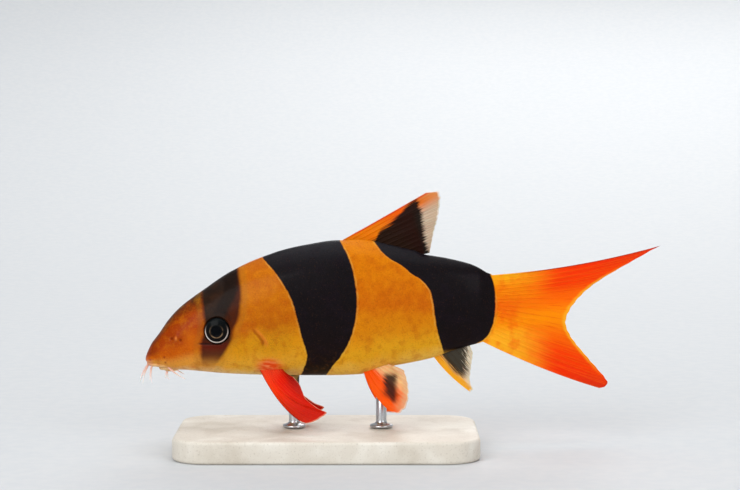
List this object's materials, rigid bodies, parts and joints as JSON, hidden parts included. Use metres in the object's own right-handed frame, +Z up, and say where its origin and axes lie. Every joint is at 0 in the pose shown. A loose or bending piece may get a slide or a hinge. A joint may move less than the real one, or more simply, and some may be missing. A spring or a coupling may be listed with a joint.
{
  "type": "clown loach model",
  "caption": "Life-size still model of a clown loach, an orange fish with dark bands and red fins, held over a plain base by short rods.",
  "frame": {"origin": "centre of the stand's underside, on the surface that the model stands on", "axes": "+Z up; the fish heads towards -X, along its length; +Y towards the fish's right side"},
  "size_m": [0.1175, 0.04, 0.0585],
  "materials": {
    "skin_head": "orange skin with a dark band through the eye, satin",
    "skin_trunk": "orange skin with two wide dark bands, satin",
    "skin_tail": "bright orange skin, satin",
    "banded_fin": "orange fin with a black patch and a pale edge, satin",
    "red_fin": "deep red fin, satin",
    "tail_fin": "red-orange fin, satin",
    "eye": "dark eye with a silver ring, glossy",
    "barbel": "pale pink, satin",
    "base": "honed pale limestone",
    "steel": "satin"
  },
  "bodies": {
    "root": {"head": "skin_head", "trunk": "skin_trunk", "tail_stalk": "skin_tail", "dorsal_fin": "banded_fin", "anal_fin": "banded_fin", "pelvic_fin_left": "banded_fin", "pelvic_fin_right": "banded_fin", "pectoral_fin_left": "red_fin", "pectoral_fin_right": "red_fin", "tail_fin": "tail_fin", "eye_left": "eye", "eye_right": "eye", "barbel_rostral_inner_left": "barbel", "barbel_rostral_inner_right": "barbel", "barbel_rostral_outer_left": "barbel", "barbel_rostral_outer_right": "barbel", "barbel_maxillary_left": "barbel", "barbel_maxillary_right": "barbel", "barbel_mandibular_left": "barbel", "barbel_mandibular_right": "barbel", "stand_base": "base", "stand_rod_front": "steel", "stand_rod_rear": "steel"}
  },
  "joints": []
}
